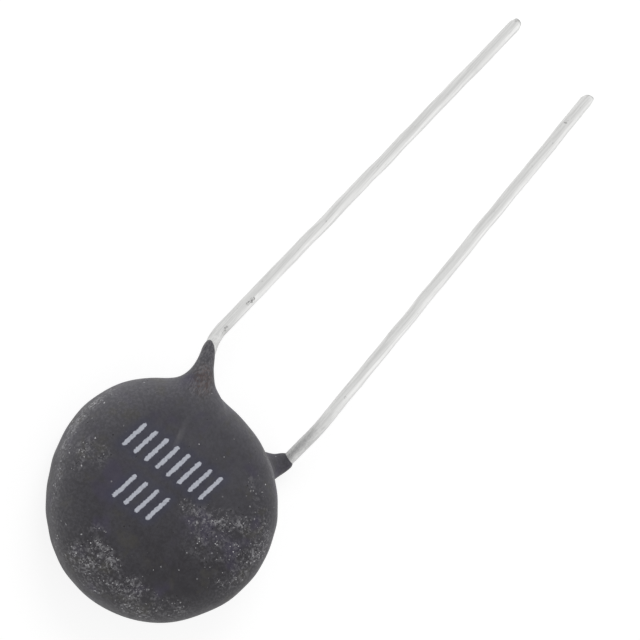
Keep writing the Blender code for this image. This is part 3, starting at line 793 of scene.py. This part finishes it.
def paleFilmsAndPaintedLight(add, where, grain, mottle, climb, film):
    # the sum of four pale films: round the rim, painted rim light with a dusty grain; under the dust; in
    # streaks on the front collar; and on the ridge over the front wire, a painted highlight
    look = resinLook
    begins, full, thinned = look["rim"]
    level = add("VectorMath", times, where, (1, 1, 0))
    across = add("VectorMath", {"operation": "LENGTH"}, level)
    # painted rim light: a pale band round the rim, mottled, with dust on the grain's high points
    edge = add("Math", times,
               add("MapRange", smooth, across, begins, full),
               add("MapRange", smooth, across, full, thinned, 1.0, look["rimLeft"]),
               add("MapRange", smooth, mottle, *usual, *look["rimMottled"]))
    speckled = add("MapRange", smooth, grain, *look["speckled"])
    veils = []
    for cover, (onGrain, everywhere) in ((edge, look["rimLightAndDust"]), (film, look["dustVeil"])):
        uneven = add("Math", plus, add("Math", times, speckled, onGrain), everywhere)
        veils.append(add("Math", times, cover, uneven))
    drawn = inMm(add, look["streakStretch"], math.radians(look["climbTurn"]))
    streaks = add("TexNoise", {}, drawn, 0.5 / look["streak"], 3.0, 0.6)
    veils.append(add("Math", times,
                     add("MapRange", smooth, climb, *look["streakEnds"], look["streakVeil"], 0.0),
                     add("MapRange", smooth, streaks, *look["streaked"])))
    # painted highlight: a pale line along the ridge's lit side, mottled
    ridge = awayFrom(add, where, *look["ridge"])
    veils.append(add("Math", times,
                     add("MapRange", smooth, ridge, *look["ridgeHighlightEnds"], look["ridgeHighlight"], 0.0),
                     add("MapRange", smooth, mottle, 0.4, 0.6, 0.4, 1.0)))
    return add("Math", plus, *veils)


def dustSpecks(add, where, film, clear):
    # one place for a speck in each cell of a warped pattern. The cell's own random colour says whether
    # the place is taken, how wide the speck is and how strong; in a few cells it is a pit, painted dark as
    # the shade in it
    look = resinLook
    shift = add("TexNoise", {}, where, look["warpsPerMm"]).node.outputs["Color"]
    warped = add("VectorMath", {"operation": "MULTIPLY_ADD"}, shift, [look["speckWarp"]] * 3, where)
    fromMiddle = add("TexVoronoi", {}, warped, 1 / look["speckCell"])
    luck = add("SeparateColor", {}, fromMiddle.node.outputs["Color"]).node.outputs
    share = add("Math", plus, add("Math", times, film, look["speckShare"]),
                add("Math", times, clear, look["strayShare"]))
    taken = add("Math", {"operation": "LESS_THAN"}, luck[0], share)
    size = add("MapRange", {}, luck[1], 0.0, 1.0, *look["speckSizes"])
    within = add("Math", minus, size, fromMiddle)
    spot = add("MapRange", smooth, within, 0.0, look["speckSoft"])
    strength = add("Math", plus, add("Math", times, luck[2], luck[2]), look["speckLeast"])
    specks = add("Math", times, taken, spot, strength)
    rare = add("Math", minus, look["pitRarity"], add("Math", times, film, look["pitsInDust"]))
    pitted = add("Math", {"operation": "GREATER_THAN"}, luck[0], rare)
    return specks, add("Math", times, pitted, spot, look["pitStrength"])


def resinMaterial():
    # bare resin, the pale films and painted light, the specks and the pits' painted shade, and the mark,
    # laid over each other in this order
    look = resinLook
    material, shader, add = newMaterial("matte dipped resin")
    where = inMm(add)
    grain = add("TexNoise", {}, where, 0.5 / look["grain"], 2.0, 0.6)
    mottle = add("TexNoise", {}, where, 0.5 / look["mottle"], 3.0, 0.6)
    climb = awayFrom(add, where, *look["climb"])
    distance = inkDistance(add, where)
    clear = add("MapRange", smooth, distance, *look["offInk"])
    film = dustFilm(add, where, clear)
    filmsAndPaintedLight = paleFilmsAndPaintedLight(add, where, grain, mottle, climb, film)
    specks, pits = dustSpecks(add, where, film, clear)
    colour = bareResin(add, where, grain, climb)
    # the pale colour is dust and also the painted rim light and ridge highlight; the dark one is the painted
    # shade in pits
    for share, tint in ((filmsAndPaintedLight, "paleDustAndLight"), (specks, "paleDustAndLight"), (pits, "pitShade")):
        colour = add("Mix", inColour, share, colour, linear(look[tint]))
    colour = stampedMark(add, where, grain, distance, colour)
    roughness = add("MapRange", smooth, mottle, *usual, *look["roughness"])
    normal = add("Bump", {}, Distance=look["mottleDepth"] * mm, Height=mottle)
    normal = add("Bump", {}, Distance=look["grainDepth"] * mm, Height=grain, Normal=normal)
    raised = add("Math", minus, specks, pits)
    normal = add("Bump", {}, Distance=look["speckDepth"] * mm, Height=raised, Normal=normal)
    fill(shader, Base_Color=colour, Roughness=roughness, Normal=normal, Specular_IOR_Level=look["specular"],
         Sheen_Weight=look["sheen"], Sheen_Roughness=look["sheenRoughness"])
    return material


# The wires: copper drawn and hot-tinned, a bright grey metal dulled by handling. Fine drawing lines
# run along it, the tin lies in slight waves, and tools left small dark nicks. Close to the coat a
# breath of resin has bled over the tin and hides part of its shine.
tinLook = {
    "colour": "#eaeae9", "dull": "#d8d8d7", "nick": "#5c5b5a",
    "roughness": (0.4, 0.52),
    "filmed": (9.6, 13.0),          # mm along +Y, between which the film of resin thins to nothing
    "film": 0.45,                   # how much of the metal it hides where it is full
    "filmRoughness": 0.16,          # and how much rougher it is there
    "lines": 0.04,                  # mm across one drawing line; drawn coarser than the real 0.01
    "lineLength": 3.0,              # mm
    "waves": 0.45,
    "waveDepth": 0.004, "lineDepth": 0.003,
    # thin dirt all over: its size, the noise from which it shows, and how dark it gets
    "dirt": 0.12, "dirtShows": (0.68, 0.78), "dirtDark": 0.6,
    # dirt left in the nicks: stretches in mm from the disc's axis, their half width and darkness
    "marks": (
        ((-4.4, 12.5, 0.3), (-4.31, 12.9, 0.4), 0.12, 0.8),
        ((-4.36, 9.9, 0.3), (-4.42, 10.5, 0.4), 0.11, 0.5),
        ((4.57, 9.95, 0.4), (4.58, 9.6, 0.4), 0.07, 0.5),
        ((3.47, 35.5, 0.3), (3.42, 35.9, 0.4), 0.09, 0.5),
        ((-3.46, 37.8, 0.3), (-3.4, 37.9, 0.3), 0.1, 0.3),
    ),
    "broken": 0.07,                 # mm across a gap in the edge of such a mark
}


def tinMaterial():
    # the colour and roughness follow the lines and waves; each mark is dark within its half width,
    # which a noise takes in and out
    look = tinLook
    material, shader, add = newMaterial("hot tinned copper")
    where = inMm(add)
    streaked = inMm(add, (look["lines"], look["lineLength"], look["lines"]))
    lines = add("TexNoise", {}, streaked, 0.5, 3.0, 0.6)    # the stretch gives their size
    waves = add("TexNoise", {}, where, 0.5 / look["waves"], 2.0)
    along = add("SeparateXYZ", {}, where).node.outputs["Y"]
    dulled = add("MapRange", smooth, along, *look["filmed"], look["filmRoughness"], 0.0)
    colour = add("Mix", inColour, add("MapRange", smooth, lines, 0.35, 0.65),
                 linear(look["colour"]), linear(look["dull"]))
    broken = add("TexNoise", {}, where, 0.5 / look["broken"], 2.0, 0.7)
    dirt = add("TexNoise", {}, where, 0.5 / look["dirt"], 2.0, 0.7)
    dirty = [add("MapRange", smooth, dirt, *look["dirtShows"], 0.0, look["dirtDark"])]
    for start, end, half, dark in look["marks"]:
        away = add("Math", plus, awayFrom(add, where, start, end),
                   add("MapRange", {}, broken, *usual, -half, half))
        dirty.append(add("MapRange", smooth, away, half * 0.3, half, dark, 0.0))
    colour = add("Mix", inColour, add("Math", highest, *dirty), colour, linear(look["nick"]))
    metallic = add("MapRange", smooth, along, *look["filmed"], 1 - look["film"], 1.0)
    roughness = add("MapRange", smooth, waves, *usual, *look["roughness"])
    roughness = add("Math", plus, roughness, dulled)
    normal = add("Bump", {}, Distance=look["waveDepth"] * mm, Height=waves)
    normal = add("Bump", {}, Distance=look["lineDepth"] * mm, Height=lines, Normal=normal)
    fill(shader, Base_Color=colour, Metallic=metallic, Roughness=roughness, Normal=normal)
    return material


# What the coat hides, still finished as what it is
innerLook = {
    # sintered manganese and nickel oxides: black-grey, pressed and fired, with a fine open grain
    "sintered oxide": {"nodes": ("ceramic_disc",), "colours": ("#3c3937", "#2c2a29"), "metallic": 0.0,
                       "roughness": (0.7, 0.85), "blotch": 0.12, "depth": 0.01},
    # screen printed silver, fired on: off-white and dull, with the grain of the screen
    "fired silver": {"nodes": ("front_electrode", "rear_electrode"), "colours": ("#e3e0d8", "#c9c6bd"),
                     "metallic": 1.0, "roughness": (0.4, 0.55), "blotch": 0.2, "depth": 0.004},
    # tin solder that has flowed: grey, softly bright, slightly frosted
    "soft solder": {"nodes": ("front_solder", "rear_solder"), "colours": ("#cfcfd1", "#b4b4b7"),
                    "metallic": 1.0, "roughness": (0.22, 0.4), "blotch": 0.5, "depth": 0.01},
}


def innerMaterial(name, look):
    # one noise gives the two colours, the roughness and the height
    material, shader, add = newMaterial(name)
    blotch = add("TexNoise", {}, inMm(add), 0.5 / look["blotch"], 3.0, 0.6)
    share = add("MapRange", smooth, blotch, 0.35, 0.65)
    colour = add("Mix", inColour, share, *(linear(value) for value in look["colours"]))
    roughness = add("MapRange", smooth, blotch, *usual, *look["roughness"])
    normal = add("Bump", {}, Distance=look["depth"] * mm, Height=blotch)
    fill(shader, Base_Color=colour, Metallic=look["metallic"], Roughness=roughness, Normal=normal)
    return material


coat.data.materials.append(resinMaterial())
tin = tinMaterial()
for lead in leads:
    lead.data.materials.append(tin)
for name, look in innerLook.items():
    material = innerMaterial(name, look)
    for hidden in look["nodes"]:
        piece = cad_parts[hidden]
        piece.data.materials.clear()
        piece.data.materials.append(material)
print("materials made")
